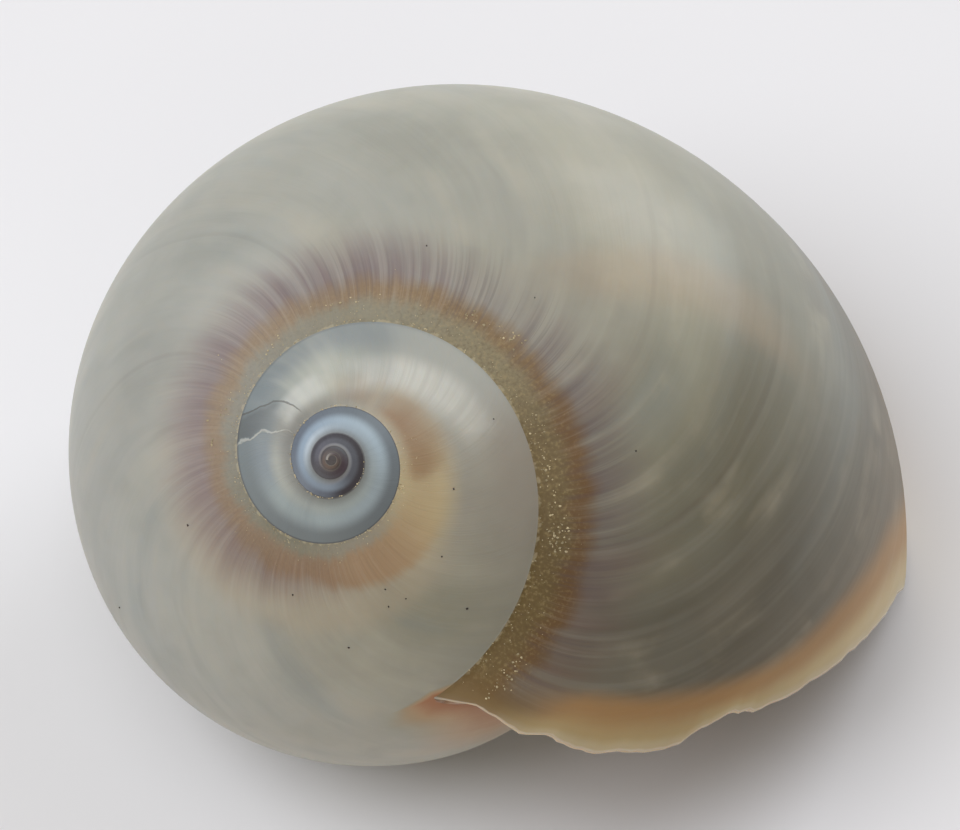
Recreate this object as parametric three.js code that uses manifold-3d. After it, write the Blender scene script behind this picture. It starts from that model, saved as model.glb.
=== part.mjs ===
// Moon snail shell: a low, dextral, smooth spiral of about five whorls, one natural piece.
// Millimetres, +Z up. The shell lies as it comes to rest, spire up and mouth half under it,
// and the origin is the middle of the surface that it rests on.
//
// A place on the shell is given by its turn t (0 where the last suture meets the mouth,
// -1 one whorl earlier) and its arc angle u, measured in the whorl's section from the suture
// round the shoulder (a quarter turn) to the base (half a turn) and on to the umbilicus.

import * as THREE from 'three';
import Module from 'manifold-3d';
import { ParametricGeometry } from 'three/addons/geometries/ParametricGeometry.js';
import { mergeVertices } from 'three/addons/utils/BufferGeometryUtils.js';

const wasm = await Module();
wasm.setup();

// Spiral
const END_RADIUS = 33.5;        // whorl radius at turn 0
const GROWTH = 0.682;           // natural logarithm of the growth in one turn
const FIRST_TURN = -4.7;        // the nucleus
const LEVEL = 1.032;            // depth of the shoulder below the apex, in whorl radii
const END_ANGLE = 1.229;        // direction of the last suture's end, clockwise from +X

// Suture: how far round the whorl before it each whorl is attached
const ATTACH_EARLY = 0.476;
const ATTACH_END = 0.955;
const ATTACH_TURNS = 0.466;     // the suture drops over this last part of the spiral
const NUCLEUS_SUTURE = 0.3;     // suture radius in the first turn, in whorl radii
const NUCLEUS_DEPTH = 0.2;

// Whorl section, in whorl radii where no unit is given
const TOP_SQUARENESS = 2.774;   // superellipse exponent between suture and shoulder
const TOP_START = 0.273;        // arc angle of the suture edge
const BITE = 0.07;              // the section starts this much earlier, inside the older whorl
const BASE_SQUARENESS = 2.25;
const BASE_DEPTH = 0.38;        // base below the shoulder
const BASE_RADIUS = 0.42;       // circle that the base is lowest along
const UMBILICUS = 0.09;
const UMBILICUS_DEPTH = 0.1;    // floor of the umbilicus below the shoulder
const CORE_DEPTH = 0.45;        // the section closes on the axis here, inside older whorls
const AXIS_GAP = 0.01;
const SPINDLE_RADIUS = 2.9;     // mm, at the umbilicus; fills the axis up to the nucleus
const SPINDLE_DEPTH = 28;

// Growth lines lag behind the suture as they cross the whorl, and so does the lip
const LAG = 0.46;               // turns
const LAG_ARC = 2.1;

// Below the shoulder the lip runs ahead of its growth line
const REACH = 0.0775;           // turns
const REACH_START = 0.5;        // arc angles between which it does
const REACH_RISE = 1.5;
const REACH_POWER = 1.2;
const REACH_FADE = 1.6;
const REACH_END = 3.5;
const REACH_TURNS = 0.3;        // it builds up over this last part of the spiral

// Wall and living chamber
const WALL = 1.3;               // mm
const CHAMBER_TURNS = 1.9;
const COLUMELLA = 0.17;         // chamber's inner edge, in whorl radii
const CHAMBER_PAST_LIP = 0.12;
const CHAMBER_START = 0.25;     // arc angle after the suture edge
const CHAMBER_END = 3.61;       // arc angle, a little past the base

// Callus lobe of the inner lip, half over the umbilicus
const LOBE_TURN = -0.34;
const LOBE_RADIUS = 0.15;       // from the axis, in whorl radii
const LOBE_DEPTH = -0.06;       // below the shoulder, in whorl radii
const LOBE_SIZE = [3.4, 4.4, 6.2];

// Lie of the shell, in radians: turned about its own axis, leaned over about +X with that
// axis, then turned about the upright
const SPIN = 0.2349;
const LEAN = 0.4943;
const HEADING = -0.4404;
const WEAR = 0.25;              // mm, worn flat where it touches the surface

// Facets
const RINGS_PER_TURN = 29;
const RING_POINTS = 20;
const RING_ARC = 0.82;          // share of a ring's points that lie on the arc
const CHAMBER_POINTS = 14;
const CHAMBER_ARC = 0.7;
const SPAN = 0.24;              // turns in one piece of tube
const OLDER = 3;                // pieces between a chamber and the whorl that it winds over
const OVERLAP = 0.03;           // turns that one piece of chamber runs into the next
const SLIVER = 0.02;            // mm
const SLAB = 100;
const SLOPE_STEP = 0.01;        // of arc angle
const MERGE = 1e-4;             // mm
const UMBILICUS_ARC = 1.5 * Math.PI;

function power(x, squareness) {
  return Math.sign(x) * Math.abs(x) ** (2 / squareness);
}

// Size and place of the whorl at turn t
function whorl(t) {
  const radius = END_RADIUS * Math.exp(GROWTH * t);
  const level = LEVEL * radius;
  let sutureRadius = NUCLEUS_SUTURE * radius;
  let sutureDepth = NUCLEUS_DEPTH * radius;
  if (t > FIRST_TURN + 1) {
    const drop = Math.exp(Math.min(t, 0) / ATTACH_TURNS);
    const attach = ATTACH_EARLY + (ATTACH_END - ATTACH_EARLY) * drop;
    [sutureRadius, sutureDepth] = section(whorl(t - 1), attach);
  }
  const width = (radius - sutureRadius) / (1 - power(Math.sin(TOP_START), TOP_SQUARENESS));
  const rise = (level - sutureDepth) / power(Math.cos(TOP_START), TOP_SQUARENESS);
  return { radius, level, sutureRadius, sutureDepth, width, rise };
}

// Distance from the axis and depth below the apex at arc angle u of a whorl
function section(w, u) {
  const sin = Math.sin(u);
  const cos = Math.cos(u);
  if (u <= Math.PI / 2) {
    const rho = w.radius - w.width + w.width * power(sin, TOP_SQUARENESS);
    return [rho, w.level - w.rise * power(cos, TOP_SQUARENESS)];
  }
  if (u <= Math.PI) {
    const reach = (1 - BASE_RADIUS) * power(sin, BASE_SQUARENESS);
    const drop = BASE_DEPTH * power(-cos, BASE_SQUARENESS);
    return [w.radius * (BASE_RADIUS + reach), w.level + w.radius * drop];
  }
  const reach = (BASE_RADIUS - UMBILICUS) * power(-sin, BASE_SQUARENESS);
  const drop = (BASE_DEPTH - UMBILICUS_DEPTH) * power(-cos, BASE_SQUARENESS);
  return [w.radius * (BASE_RADIUS - reach), w.level + w.radius * (UMBILICUS_DEPTH + drop)];
}

// The same place on the inside of the wall
function innerSection(w, u) {
  const [r0, d0] = section(w, u - SLOPE_STEP);
  const [r1, d1] = section(w, u + SLOPE_STEP);
  const length = Math.hypot(r1 - r0, d1 - d0);
  const [rho, depth] = section(w, u);
  return [rho - (WALL * (d1 - d0)) / length, depth + (WALL * (r1 - r0)) / length];
}

// Turns by which a growth line lags behind its suture end
function lag(u) {
  return -LAG * (1 - Math.exp(-(u - TOP_START) / LAG_ARC));
}

function smoothStep(x) {
  const share = Math.min(Math.max(x, 0), 1);
  return share * share * (3 - 2 * share);
}

// Turn at arc angle u of the ring that starts from the suture at the given turn
function ringTurn(turn, u) {
  const rise = (Math.max(u - REACH_START, 0) / REACH_RISE) ** REACH_POWER;
  const fade = 1 - smoothStep((u - REACH_FADE) / (REACH_END - REACH_FADE));
  const nearLip = smoothStep(1 + turn / REACH_TURNS);
  return turn + lag(u) + REACH * rise * fade * nearLip;
}

function place(t, rho, depth, target) {
  const angle = -(END_ANGLE + 2 * Math.PI * t);
  return target.set(rho * Math.cos(angle), rho * Math.sin(angle), -depth);
}

// The rest of a ring: up the columella from the base, then through the older whorls to the
// suture, or to a depth below it
function closingPath(turn, behind, edge, core, below, back, target) {
  const suture = section(whorl(turn), TOP_START - BITE);
  const end = [suture[0], suture[1] + below];
  const [from, to, share] = back < 0.5 ? [edge, core, back * 2] : [core, end, back * 2 - 1];
  const rho = from[0] + (to[0] - from[0]) * share;
  const depth = from[1] + (to[1] - from[1]) * share;
  return place(turn + behind * (back < 0.5 ? 1 : 1 - share), rho, depth, target);
}

// Outside of the whorl whose suture is at the given turn: round the section, then inwards
// to the axis and back to the suture inside the older whorls
function outerRing(turn, v, target) {
  if (v <= RING_ARC) {
    const first = TOP_START - BITE;
    const u = first + (v / RING_ARC) * (UMBILICUS_ARC - first);
    const t = ringTurn(turn, u);
    const [rho, depth] = section(whorl(t), u);
    return place(t, rho, depth, target);
  }
  const behind = lag(UMBILICUS_ARC);
  const w = whorl(turn + behind);
  const edge = section(w, UMBILICUS_ARC);
  const core = [w.radius * AXIS_GAP, w.radius * CORE_DEPTH];
  return closingPath(turn, behind, edge, core, 0, (v - RING_ARC) / (1 - RING_ARC), target);
}

// Chamber inside the same whorl. Its inner edge lies inside the older whorls, which are
// taken out of it afterwards and so form the parietal wall.
function chamberRing(turn, v, target) {
  if (v <= CHAMBER_ARC) {
    const first = TOP_START + CHAMBER_START;
    const u = first + (v / CHAMBER_ARC) * (CHAMBER_END - first);
    const t = ringTurn(turn, u);
    const [rho, depth] = innerSection(whorl(t), u);
    return place(t, rho, depth, target);
  }
  const behind = lag(CHAMBER_END);
  const w = whorl(turn + behind);
  const edge = innerSection(w, CHAMBER_END);
  const core = [w.radius * COLUMELLA, w.radius * CORE_DEPTH];
  const back = (v - CHAMBER_ARC) / (1 - CHAMBER_ARC);
  return closingPath(turn, behind, edge, core, WALL, back, target);
}

// Closed tube from one ring to another, its ends closed to the middle of their rings
function tube(ring, from, to, points) {
  const steps = Math.max(2, Math.round((to - from) * RINGS_PER_TURN));
  const stacks = steps + 2;
  const corner = new THREE.Vector3();
  const middle = (turn, target) => {
    target.set(0, 0, 0);
    for (let i = 0; i < points; i += 1) {
      target.add(ring(turn, i / points, corner));
    }
    return target.divideScalar(points);
  };
  const surface = (v, s, target) => {
    const row = Math.round(s * stacks);
    const turn = from + ((to - from) * Math.min(Math.max(row - 1, 0), steps)) / steps;
    if (row === 0 || row === stacks) {
      middle(turn, target);
    } else {
      ring(turn, v === 0 ? 0 : 1 - v, target);
    }
  };
  return new ParametricGeometry(surface, points, stacks);
}

// Solid from a closed geometry, its shared corners merged and its empty faces dropped
function solid(geometry) {
  const bare = geometry.clone();
  bare.deleteAttribute('normal');
  bare.deleteAttribute('uv');
  const merged = mergeVertices(bare, MERGE);
  const corners = merged.index.array;
  const faces = [];
  for (let i = 0; i < corners.length; i += 3) {
    const [a, b, c] = corners.slice(i, i + 3);
    if (a !== b && b !== c && c !== a) {
      faces.push(a, b, c);
    }
  }
  const vertProperties = Float32Array.from(merged.attributes.position.array);
  const triVerts = Uint32Array.from(faces);
  return new wasm.Manifold(new wasm.Mesh({ numProp: 3, vertProperties, triVerts }));
}

function geometryOf(manifold) {
  const mesh = manifold.getMesh();
  const geometry = new THREE.BufferGeometry();
  geometry.setAttribute('position', new THREE.BufferAttribute(mesh.vertProperties, 3));
  geometry.setIndex(new THREE.BufferAttribute(mesh.triVerts, 1));
  return geometry;
}

// Stretches of the spiral, youngest first
function spans(turns) {
  const list = [];
  for (let end = 0; end > -turns + OVERLAP; end -= SPAN) {
    list.push([Math.max(end - SPAN, -turns), end]);
  }
  return list;
}

// Cone that fills the middle of the columella, where the rings stop short of the axis
function spindle() {
  const cone = new THREE.ConeGeometry(SPINDLE_RADIUS, SPINDLE_DEPTH, 10);
  cone.rotateX(Math.PI / 2);
  cone.translate(0, 0, -SPINDLE_DEPTH / 2);
  return solid(cone);
}

// Thick tongue of callus on the inner lip
function callusLobe() {
  const w = whorl(LOBE_TURN);
  const depth = w.level + w.radius * LOBE_DEPTH;
  const middle = place(LOBE_TURN, w.radius * LOBE_RADIUS, depth, new THREE.Vector3());
  const lobe = new THREE.SphereGeometry(1, 12, 8);
  lobe.scale(...LOBE_SIZE);
  lobe.rotateZ(Math.atan2(middle.y, middle.x));
  lobe.translate(middle.x, middle.y, middle.z);
  return solid(lobe);
}

// The whorls joined, with the chamber hollowed out of the youngest ones
function shellSolid() {
  const outside = ([from, to]) => solid(tube(outerRing, from, to, RING_POINTS));
  const whorls = spans(-FIRST_TURN).map(outside);
  let body = whorls.reduce((sum, next) => sum.add(next), spindle());
  spans(CHAMBER_TURNS).forEach(([from, to], i) => {
    const end = to === 0 ? CHAMBER_PAST_LIP : to;
    let chamber = solid(tube(chamberRing, from - OVERLAP, end, CHAMBER_POINTS));
    for (const older of whorls.slice(i + OLDER)) {
      chamber = chamber.subtract(older);
    }
    body = body.subtract(chamber);
  });
  // Thin slivers beside the suture are merged away, and only the largest body is kept
  const bodies = body.add(callusLobe()).simplify(SLIVER).decompose();
  return bodies.reduce((largest, next) => (next.volume() > largest.volume() ? next : largest));
}

// Shell in its own frame, apex up, placed as it lies
function placement() {
  const spun = new THREE.Matrix4().makeRotationZ(SPIN);
  const leaned = new THREE.Matrix4().makeRotationX(LEAN);
  return new THREE.Matrix4().makeRotationZ(HEADING).multiply(leaned).multiply(spun);
}

// The shell with its lowest points worn flat
function worn(body, lie) {
  const lying = geometryOf(body).applyMatrix4(lie);
  lying.computeBoundingBox();
  const slab = new THREE.BoxGeometry(SLAB, SLAB, SLAB);
  slab.translate(0, 0, lying.boundingBox.min.z + WEAR - SLAB / 2);
  slab.applyMatrix4(lie.clone().invert());
  return body.subtract(solid(slab));
}

const lie = placement();
const geometry = geometryOf(worn(shellSolid(), lie)).applyMatrix4(lie);
geometry.computeBoundingBox();
const box = geometry.boundingBox;

const shell = new THREE.Mesh(
  geometry,
  new THREE.MeshStandardMaterial({ color: 0xb7ae98, roughness: 0.35, metalness: 0 }),
);
shell.name = 'shell';
shell.position.set(-(box.min.x + box.max.x) / 2, -(box.min.y + box.max.y) / 2, -box.min.z);

const moonSnailShell = new THREE.Group();
moonSnailShell.add(shell);

export default moonSnailShell;
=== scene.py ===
"""Moon snail shell, resting on its mouth: the shell with its living chamber, and the sand
caught in its suture.

Lengths are in millimetres in the shell's own frame, apex at the origin and spire up, until
lay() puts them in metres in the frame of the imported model.

A place on the shell is given by its turn t (0 where the last suture meets the mouth, -1 one
whorl earlier) and its arc angle u, from the suture round the shoulder (a quarter turn) to
the base (half a turn) and on to the umbilicus.
"""

import math

import bpy
import numpy as np
from mathutils import Matrix, Vector


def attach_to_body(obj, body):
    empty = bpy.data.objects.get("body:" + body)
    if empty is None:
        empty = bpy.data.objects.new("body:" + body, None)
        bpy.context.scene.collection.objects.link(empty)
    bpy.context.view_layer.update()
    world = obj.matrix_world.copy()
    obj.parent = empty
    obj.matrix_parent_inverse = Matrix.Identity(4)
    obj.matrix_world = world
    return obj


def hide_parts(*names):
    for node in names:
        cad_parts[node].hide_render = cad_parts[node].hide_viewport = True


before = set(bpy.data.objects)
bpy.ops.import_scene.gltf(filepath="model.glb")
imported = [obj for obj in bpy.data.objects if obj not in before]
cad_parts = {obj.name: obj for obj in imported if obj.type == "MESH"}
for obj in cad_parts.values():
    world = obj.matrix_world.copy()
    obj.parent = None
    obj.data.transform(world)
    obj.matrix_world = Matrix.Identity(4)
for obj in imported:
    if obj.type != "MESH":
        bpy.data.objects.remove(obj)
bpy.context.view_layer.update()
rng = np.random.default_rng(7)

MM = 0.001

# The lie of the shell in the frame: its nucleus, and how it is turned, in radians
APEX = Vector((-8.878, -9.960, 28.642)) * MM
SPIN = 0.2349
LEAN = 0.4943
HEADING = -0.4404

# Spiral, as the CAD has it
END_RADIUS = 33.5  # mm
GROWTH = 0.682  # of the radius's logarithm in a turn
FIRST_TURN = -5.7
END_ANGLE = 1.229  # radians, where the last suture meets the mouth
PIT_FLOOR = 19.2  # mm below the apex

# Section of a whorl, in whorl radii and radians of arc angle
LEVEL = 1.032  # depth of the shoulder
TOP_START = 0.273  # arc angle of the suture
TOP_SQUARENESS = 2.774
BASE_SQUARENESS = 2.25
BASE_DEPTH = 0.38
BASE_RADIUS = 0.42
UMBILICUS = 0.09
UMBILICUS_DEPTH = 0.1
NUCLEUS_SUTURE = (0.3, 0.2563)  # at the start and the end of the first turn
NUCLEUS_DEPTH = (0.2, 0.1250)
ATTACH_EARLY = 0.476  # arc angle on the older whorl at which early whorls sit
ATTACH_END = 0.955  # and at which the mouth does
ATTACH_TURNS = 0.466

# Slant of the lip and of the growth lines, in turns over radians of arc angle
LAG = 0.46
LAG_ARC = 2.1
REACH = 0.0775
REACH_START = 0.5
REACH_RISE = 1.5
REACH_POWER = 1.2
REACH_FADE = 1.6
REACH_END = 3.5
REACH_TURNS = 0.3  # behind the lip, over which the lip comes to reach ahead

# Mouth and living chamber
CHAMBER_TURNS = 1.3
COLUMELLA_ARC = 3.61
MOUTH_RADIUS = 25  # mm, from the axis to the middle of the mouth
LIP = 0.5  # mm, thickness of the outer lip
LIP_PLACE = 0.85  # of END_RADIUS, where the lip's rounding is measured
CHIP_TURNS = 0.03  # behind the lip, where the chips of its edge have faded out
WALL = 1.3  # mm, further in
WALL_TURNS = 0.12
GLAZE = 0.3  # mm of callus on the older whorl, inside the mouth
CALLUS_FADE = 45  # mm from the mouth that a radian above the suture counts for
INNER_LIP = 6.0  # mm from the lip that all of the inner lip counts as
INNER_LIP_TURNS = 0.2  # that its growth lines run over
RAGGED = 0.35  # thousandths of a turn, height of the broken lip's small teeth

# Mesh
TURN_ROWS = 160
LIP_ROWS = (0.9955, 0.9968, 0.998, 0.999)
ROUNDING_ROWS = 7
CHAMBER_FIRST_ROWS = (0.002, 0.004, 0.007, 0.011, 0.016, 0.022)  # turns behind the lip
CHAMBER_TURN_ROWS = 70
GLAZE_ROWS = 12
TOP_COLUMNS = 48
BODY_COLUMNS = 90
UMBILICUS_COLUMNS = 22
FLOOR_COLUMNS = 5
BRIDGE_ROWS = 26
UMBILICUS_ARC = 1.5 * math.pi
SAME_PLACE = 4e-7  # m
SAME_TURN = 1e-9
FAR = 99  # mm, where a distance doesn't count


def power(x, squareness):
    """A sine or cosine, bent so that a quarter of a circle becomes squarer."""
    return np.sign(x) * np.abs(x) ** (2 / squareness)


def smooth(x):
    """0 below 0, 1 above 1, with a soft step between."""
    x = np.clip(x, 0, 1)
    return x * x * (3 - 2 * x)


def attach_angle(t):
    """Arc angle on the older whorl at which the whorl at turn t is attached."""
    drop = np.exp(np.minimum(t, 0) / ATTACH_TURNS)
    return ATTACH_EARLY + (ATTACH_END - ATTACH_EARLY) * drop


def whorl(t):
    """Radius, shoulder depth, and the width and rise of the top quarter at turn t."""
    t = np.asarray(t, float)
    radius = END_RADIUS * np.exp(GROWTH * t)
    level = LEVEL * radius
    first_turn = np.clip(t - FIRST_TURN, 0, 1)
    suture_radius = np.interp(first_turn, (0, 1), NUCLEUS_SUTURE) * radius
    suture_depth = np.interp(first_turn, (0, 1), NUCLEUS_DEPTH) * radius
    grown = t >= FIRST_TURN + 1 - SAME_TURN
    if np.any(grown):
        older_radius, older_depth = section(whorl(t - 1), attach_angle(t))
        suture_radius = np.where(grown, older_radius, suture_radius)
        suture_depth = np.where(grown, older_depth, suture_depth)
    width = (radius - suture_radius) / (1 - power(math.sin(TOP_START), TOP_SQUARENESS))
    rise = (level - suture_depth) / power(math.cos(TOP_START), TOP_SQUARENESS)
    return radius, level, width, rise


def section(w, u):
    """Distance from the axis and depth below the apex at arc angle u of a whorl."""
    radius, level, width, rise = w
    s, c = np.sin(u), np.cos(u)
    top = radius - width + width * power(s, TOP_SQUARENESS)
    top_depth = level - rise * power(c, TOP_SQUARENESS)
    base = radius * (BASE_RADIUS + (1 - BASE_RADIUS) * power(s, BASE_SQUARENESS))
    base_depth = level + radius * BASE_DEPTH * power(-c, BASE_SQUARENESS)
    pit = radius * (BASE_RADIUS - (BASE_RADIUS - UMBILICUS) * power(-s, BASE_SQUARENESS))
    drop = (BASE_DEPTH - UMBILICUS_DEPTH) * power(-c, BASE_SQUARENESS)
    pit_depth = level + radius * (UMBILICUS_DEPTH + drop)
    rho = np.where(u <= math.pi / 2, top, np.where(u <= math.pi, base, pit))
    depth = np.where(u <= math.pi / 2, top_depth, np.where(u <= math.pi, base_depth, pit_depth))
    return rho, depth


def inside(t, u, wall):
    """Distance and depth of the place a wall's thickness inside the whorl, or outside it
    where the thickness is negative."""
    w = whorl(t)
    r0, d0 = section(w, u - 0.01)
    r1, d1 = section(w, u + 0.01)
    length = np.hypot(r1 - r0, d1 - d0)
    rho, depth = section(w, u)
    return rho - wall * (d1 - d0) / length, depth + wall * (r1 - r0) / length


def lag(u):
    """Turns by which the lip lags behind its suture end."""
    return -LAG * (1 - np.exp(-(u - TOP_START) / LAG_ARC))


def reach(turn, u):
    """Turns by which the lip runs ahead of its growth line below the shoulder."""
    rise = (np.maximum(u - REACH_START, 0) / REACH_RISE) ** REACH_POWER
    fade = 1 - smooth((u - REACH_FADE) / (REACH_END - REACH_FADE))
    return REACH * rise * fade * smooth(1 + turn / REACH_TURNS)


def stand(t, rho, depth):
    """Cylindrical places as points of the shell's own frame."""
    angle = -(END_ANGLE + 2 * math.pi * t)
    return np.stack((rho * np.cos(angle), rho * np.sin(angle), -depth), -1)


LIE = (
    Matrix.Rotation(HEADING, 3, "Z") @ Matrix.Rotation(LEAN, 3, "X") @ Matrix.Rotation(SPIN, 3, "Z")
)


def lay(points):
    """Points of the shell's own frame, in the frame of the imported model, worn flat where
    the shell touches what it lies on."""
    laid = points @ np.array(LIE).T * MM + np.array(APEX)
    laid[..., 2] = np.maximum(laid[..., 2], 0)
    return laid


# ---------------------------------------------------------------- columns and rows


COLUMNS = TOP_COLUMNS + BODY_COLUMNS + UMBILICUS_COLUMNS + FLOOR_COLUMNS
COLUMELLA_COLUMN = TOP_COLUMNS + BODY_COLUMNS
PIT_COLUMN = COLUMELLA_COLUMN + UMBILICUS_COLUMNS


def arc_of(column, attach):
    """Arc angle of a column of the outside, whose TOP_COLUMNS end at the next suture."""
    top = TOP_START + (attach - TOP_START) * column / TOP_COLUMNS
    body = attach + (COLUMELLA_ARC - attach) * (column - TOP_COLUMNS) / BODY_COLUMNS
    share = (column - COLUMELLA_COLUMN) / UMBILICUS_COLUMNS
    pit = COLUMELLA_ARC + (UMBILICUS_ARC - COLUMELLA_ARC) * np.minimum(share, 1)
    return np.where(column <= TOP_COLUMNS, top, np.where(column <= COLUMELLA_COLUMN, body, pit))


def floor_share(column):
    """0 at the wall of the umbilicus, 1 at the middle of its floor."""
    return np.clip((column - PIT_COLUMN) / FLOOR_COLUMNS, 0, 1)


def close_pit(rho, depth, column):
    """Draws the last columns of the umbilicus in to a point on its floor."""
    share = floor_share(column)
    return rho * (1 - share), depth + (PIT_FLOOR - depth) * share


def row_turns():
    """Turns of the rows of the outside. They are even, with a few more behind the lip and at
    the same place of each older whorl, so that the rows of one whorl meet those of the next."""
    phases = np.sort(np.concatenate((np.arange(TURN_ROWS) / TURN_ROWS, LIP_ROWS)))
    whorls = np.arange(math.floor(FIRST_TURN), 0)
    turns = np.append((whorls[:, None] + phases).ravel(), 0.0)
    return turns[turns >= FIRST_TURN - SAME_TURN]


def add_grid(name, columns, rows):
    """A flat grid, with the column and row of each of its corners."""
    bpy.ops.object.select_all(action="DESELECT")
    bpy.ops.mesh.primitive_grid_add(x_subdivisions=columns, y_subdivisions=rows, size=2)
    piece = bpy.context.object
    piece.name = piece.data.name = name
    flat = np.empty(len(piece.data.vertices) * 3)
    piece.data.vertices.foreach_get("co", flat)
    flat = flat.reshape(-1, 3)
    column = np.rint((flat[:, 0] + 1) / 2 * columns).astype(int)
    row = np.rint((flat[:, 1] + 1) / 2 * rows).astype(int)
    return piece, column, row


def shape_grid(piece, points, maps_of_points):
    """Moves a grid's corners to their points and gives it its maps."""
    mesh = piece.data
    mesh.vertices.foreach_set("co", lay(points).ravel())
    corner = np.empty(len(mesh.loops), int)
    mesh.loops.foreach_get("vertex_index", corner)
    while mesh.uv_layers:
        mesh.uv_layers.remove(mesh.uv_layers[0])
    for name, values in zip(("growth", "edge", "band"), maps_of_points):
        layer = mesh.uv_layers.new(name=name)
        layer.data.foreach_set("uv", values[corner].astype(np.float32).ravel())
    mesh.update()


def drop_faces(piece, unwanted):
    """Deletes the faces whose corners are all unwanted."""
    mesh = piece.data
    corners = np.empty(len(mesh.loops), int)
    mesh.loops.foreach_get("vertex_index", corners)
    gone = unwanted[corners.reshape(-1, 4)].all(axis=1)
    bpy.ops.object.mode_set(mode="EDIT")
    bpy.ops.mesh.select_mode(type="FACE")
    bpy.ops.mesh.select_all(action="DESELECT")
    bpy.ops.object.mode_set(mode="OBJECT")
    mesh.polygons.foreach_set("select", gone)
    bpy.ops.object.mode_set(mode="EDIT")
    bpy.ops.mesh.delete(type="FACE")
    bpy.ops.object.mode_set(mode="OBJECT")


# ---------------------------------------------------------------- shell surfaces


def even_angle(u):
    """Arc angle, evened out round the whorl's side so that growth lines bend gently there."""
    squareness = np.where(u < math.pi / 2, TOP_SQUARENESS, BASE_SQUARENESS)
    even = np.arctan2(power(np.sin(u), squareness), power(np.cos(u), squareness))
    return np.where((u > math.pi / 4) & (u < 3 * math.pi / 4), even, u)


def line_lag(u):
    """Turns by which a growth line lags: square to the suture, then as the lip does."""
    share = np.clip((u - TOP_START) / (math.pi / 2 - TOP_START), 0, 1)
    return lag(even_angle(u)) * (1 - (1 - share) ** 2) ** 0.6


def maps(t, u, lip_distance, mouth_distance, attach):
    """The three maps of the shell: growth, with the turn of the growth line and the arc
    angle; edge, with the distances from the broken lip and from the inner lip; and band,
    with the turn and the share of the way from one suture to the next."""
    growth = np.stack((t - line_lag(u), u), -1)
    edge = np.stack((lip_distance, mouth_distance), -1)
    band = np.stack((t, (u - TOP_START) / (attach - TOP_START)), -1)
    return growth, edge, band


def inner_maps(turn, across, from_lip):
    """The same three maps for the inside, whose material reads only the first value of edge
    and takes the place across from growth."""
    growth = np.stack((turn, across), -1)
    edge = np.stack((np.broadcast_to(from_lip, np.shape(turn)), np.zeros_like(across)), -1)
    return growth, edge, growth


# Outline of the broken lip: arc angle, and thousandths of a turn that it falls short there
BROKEN_LIP = (
    (0.273, 0), (0.300, 6), (0.325, 10), (0.360, 9), (0.410, 4.5), (0.445, 1.8), (0.475, 4.2),
    (0.515, -0.4), (0.560, -3.2), (0.600, -3.8), (0.638, -2.6), (0.680, -4.0), (0.725, -3.6),
    (0.750, -2.0), (0.785, 3.2), (0.812, 5.4), (0.852, 6.6), (0.888, 5.2), (0.925, 3.2),
    (0.965, 3.6), (1.020, 2.4), (1.090, 3.4), (1.170, 2.6), (1.260, 3.2), (1.360, 2.4),
    (1.500, 3.2), (1.620, 2.4), (1.720, 3.6), (1.860, 2.4), (2.000, 3.4), (2.400, 1.6),
    (2.900, 2.4), (3.300, 0),
)


def chip(u):
    """How far the broken lip falls short at arc angle u, in turns."""
    places, depths = np.array(BROKEN_LIP).T
    after = np.clip(np.searchsorted(places, u), 1, len(places) - 1)
    share = smooth((u - places[after - 1]) / (places[after] - places[after - 1]))
    outline = depths[after - 1] + (depths[after] - depths[after - 1]) * share
    waves = np.sin(61 * u) * np.sin(23 * u + 1) + np.sin(113 * u + 1) + 0.6 * np.sin(171 * u)
    there = smooth((u - 0.28) / 0.05) * smooth((3.3 - u) / 0.4)
    return (outline + RAGGED * waves * there) / 1000


def chip_of_row(turn, u):
    """How far a row behind the lip falls short, as the broken lip does."""
    return chip(u) * np.clip(1 + turn / CHIP_TURNS, 0, 1) ** 2


def outer_turn(turn, u, attach):
    """Turn of the outside at arc angle u of the row that starts from the suture at turn.
    Rows of the last whorl take up the lip's lag bit by bit."""
    share = smooth(turn + 1)
    early = np.where(u > attach, lag(u) - lag(attach), 0)
    late = share * lag(u) + (1 - share) * early
    return turn + late + reach(turn, u) - chip_of_row(turn, u)


def along(turns, t, u):
    """Length in millimetres of a number of turns at a place on the shell."""
    radius, _ = section(whorl(t), u)
    return turns * 2 * math.pi * radius


def outside():
    """All that shows of the whorls, from the nucleus to the lip, and the umbilicus."""
    turns = row_turns()
    piece, column, row = add_grid("shell", COLUMNS, len(turns) - 1)
    turn = turns[row]
    attach = attach_angle(turn + 1)
    u = arc_of(column, attach)
    t = outer_turn(turn, u, attach)
    rho, depth = close_pit(*section(whorl(t), u), column)
    to_lip = np.where(turn > -1, along(-turn, t, u), FAR)
    above = np.maximum(ATTACH_END - u, 0) * CALLUS_FADE
    to_mouth = along(np.abs(turn + 1), t, u) + above
    shape_grid(piece, stand(t, rho, depth), maps(t, u, to_lip, to_mouth, attach))
    covered = (turn <= -1 + SAME_TURN) & (column >= TOP_COLUMNS)
    drop_faces(piece, covered)
    return piece


def chamber_corner(turn, wall, glaze):
    """Arc angles, on the young and on the older whorl, at which the inside of the young
    whorl's wall meets the glaze on the older whorl."""
    low = np.full_like(turn, TOP_START)
    high = np.full_like(turn, 1.5)
    for _ in range(40):  # each time, the half that the corner isn't in is left out
        u = (low + high) / 2
        t = turn + lag(u) + reach(turn, u)
        rho, depth = inside(t, u, wall)
        radius, level, width, rise = whorl(t - 1)
        x = np.maximum(rho - radius + width, 1e-9) / (width + glaze)
        y = np.maximum(level - depth, 1e-9) / (rise + glaze)
        buried = x**TOP_SQUARENESS + y**TOP_SQUARENESS < 1
        low = np.where(buried, u, low)
        high = np.where(buried, high, u)
    older = np.arctan2(x ** (TOP_SQUARENESS / 2), y ** (TOP_SQUARENESS / 2))
    return u, older


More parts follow.
